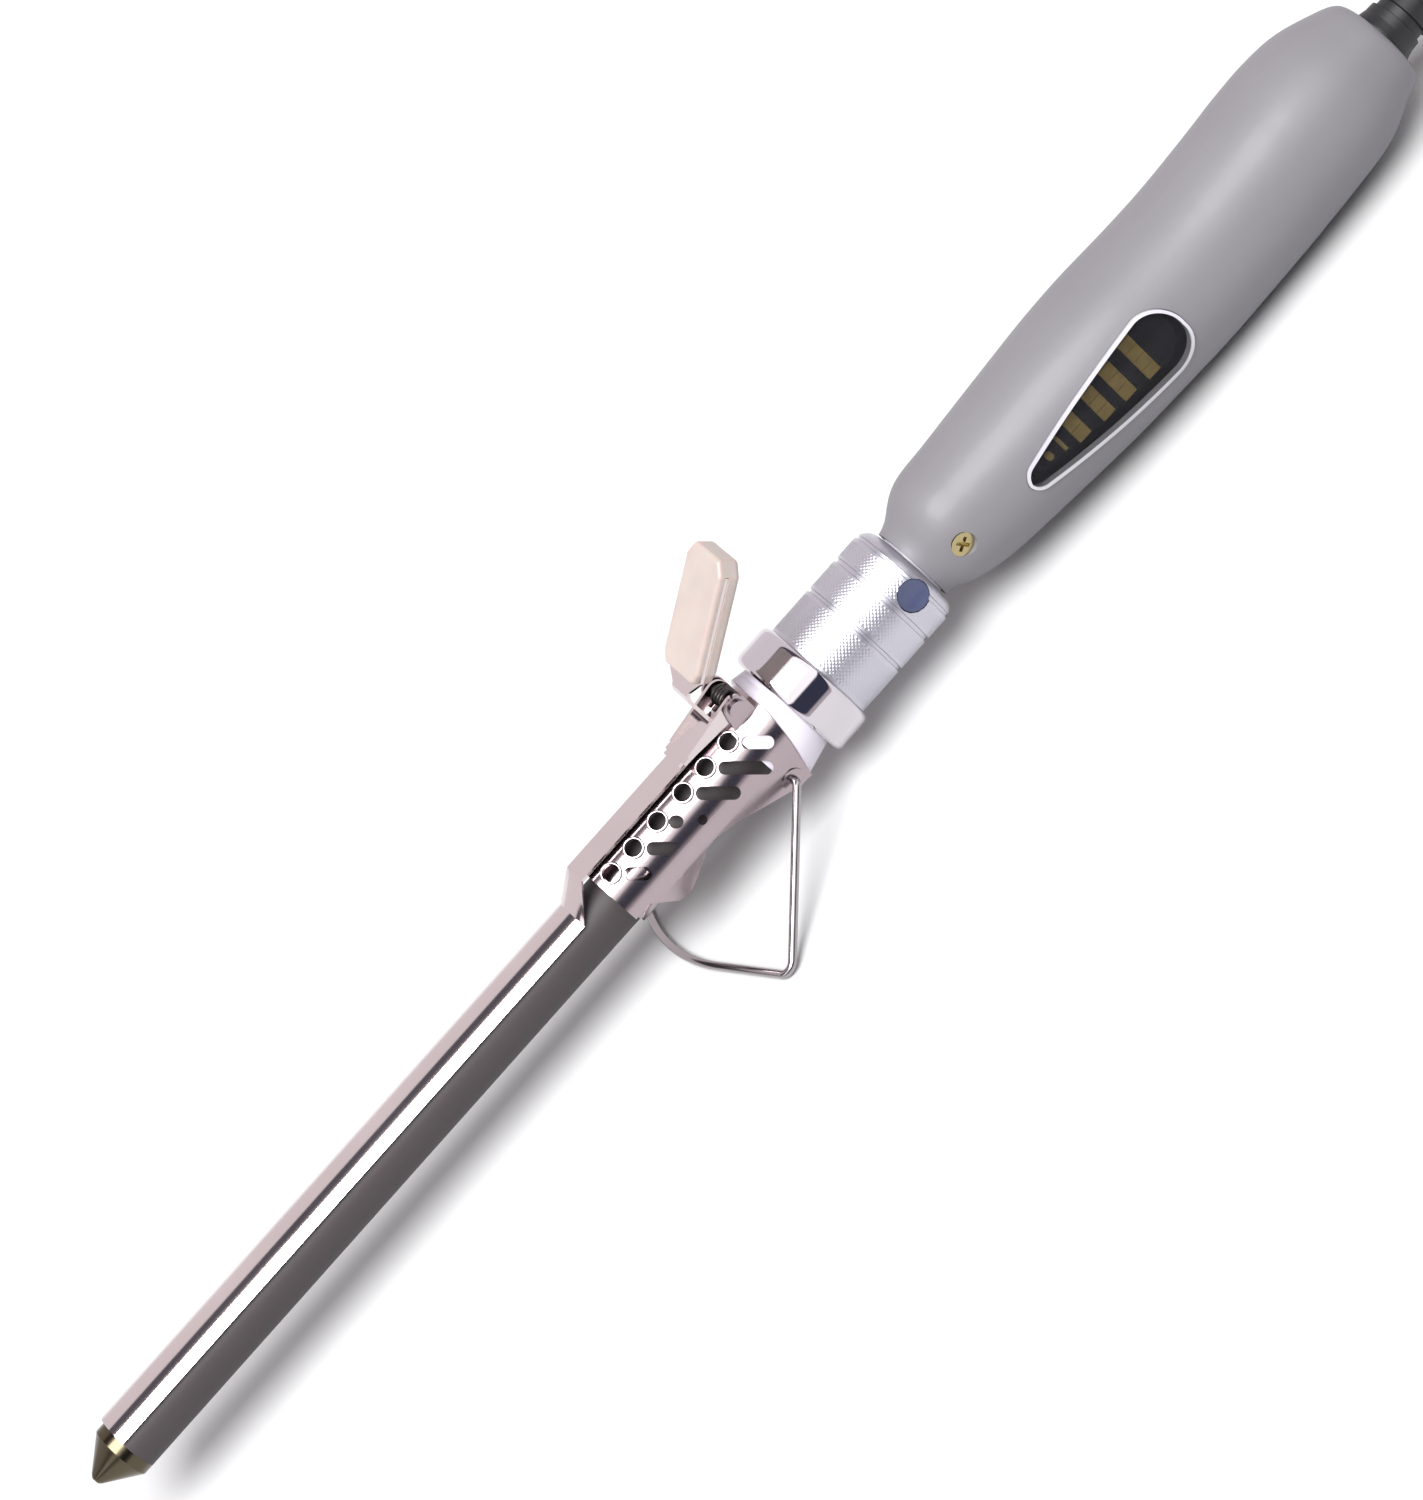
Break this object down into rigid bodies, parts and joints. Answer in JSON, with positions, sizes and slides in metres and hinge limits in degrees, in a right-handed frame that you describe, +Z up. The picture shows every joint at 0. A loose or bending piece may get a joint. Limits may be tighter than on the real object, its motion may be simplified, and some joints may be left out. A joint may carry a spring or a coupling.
{
  "type": "curling iron",
  "caption": "Slim curling iron with a spring clip and thumb lever, a vented shroud, a folding wire stand, a lit handle window and its mains lead.",
  "frame": {"origin": "on the table under the middle of the iron, from the tip of its cone to the end of its cord boot", "axes": "+X along the iron towards the handle and the cord, +Z up; the iron rests on its wire stand and its handle"},
  "size_m": [0.6638, 0.0674, 0.0606],
  "materials": {
    "tip_bronze": "gloss",
    "barrel_steel": "satin",
    "clip_chrome": "polished",
    "shroud_steel": "polished",
    "spring_steel": "satin",
    "stand_steel": "polished",
    "inner_steel": "plain",
    "neck_ceramic": "satin",
    "ring_chrome": "polished",
    "collar_aluminium": "knurled satin",
    "screw_dark": "gloss",
    "handle_silver": "silver satin",
    "screw_brass": "polished",
    "bezel_silver": "gloss",
    "lens_smoke": "gloss",
    "led_amber": "lit",
    "board_green": "satin",
    "board_black": "satin",
    "grip_pink": "satin",
    "heater_ceramic": "matt",
    "heater_aluminium": "plain",
    "lead_wire": "satin",
    "cord_black": "satin",
    "pin_nickel": "polished"
  },
  "bodies": {
    "root": {"tip_cap": "tip_bronze", "barrel_tube": "barrel_steel", "shroud": "shroud_steel", "stand_eyelets": "shroud_steel", "pivot_pin": "shroud_steel", "torsion_spring": "spring_steel", "front_saddle": "inner_steel", "board_screws": "inner_steel", "neck": "neck_ceramic", "insulator_sleeve": "neck_ceramic", "trim_ring": "ring_chrome", "collar": "collar_aluminium", "collar_set_screw": "screw_dark", "handle_left": "handle_silver", "handle_right": "handle_silver", "handle_screw": "screw_brass", "window_bezel": "bezel_silver", "window_lens": "lens_smoke", "led_bars": "led_amber", "display_board": "board_green", "control_board": "board_green", "board_parts": "board_black", "cord_clamp": "board_black", "heater_element": "heater_ceramic", "lead_bush": "heater_ceramic", "heater_clamps": "heater_aluminium", "heater_leads": "lead_wire", "inner_wires": "lead_wire", "thermal_fuse": "lead_wire", "cord_boot": "cord_black", "inner_cord": "cord_black", "cord_lead": "cord_black", "cord_hank": "cord_black", "cord_tail": "cord_black", "plug_body": "cord_black", "hank_tie": "cord_black", "plug_pins": "pin_nickel"},
    "clip": {"clip_tongue": "clip_chrome", "lever_arm": "clip_chrome", "lever_grip": "grip_pink"},
    "stand": {"stand_wire": "stand_steel"}
  },
  "joints": [
    {"name": "clip_pivot", "type": "hinge", "parent": "root", "child": "clip", "pos_m": [-0.01209, 0, 0.03273], "axis": [0, 1, 0], "range_deg": [0, 22], "stiffness_Nm_per_rad": 0.35, "springref_deg": -28.65},
    {"name": "stand_hinge", "type": "hinge", "parent": "root", "child": "stand", "pos_m": [-0.01533, 0, 0.01437], "axis": [0, -1, 0], "range_deg": [-13, 45]}
  ]
}
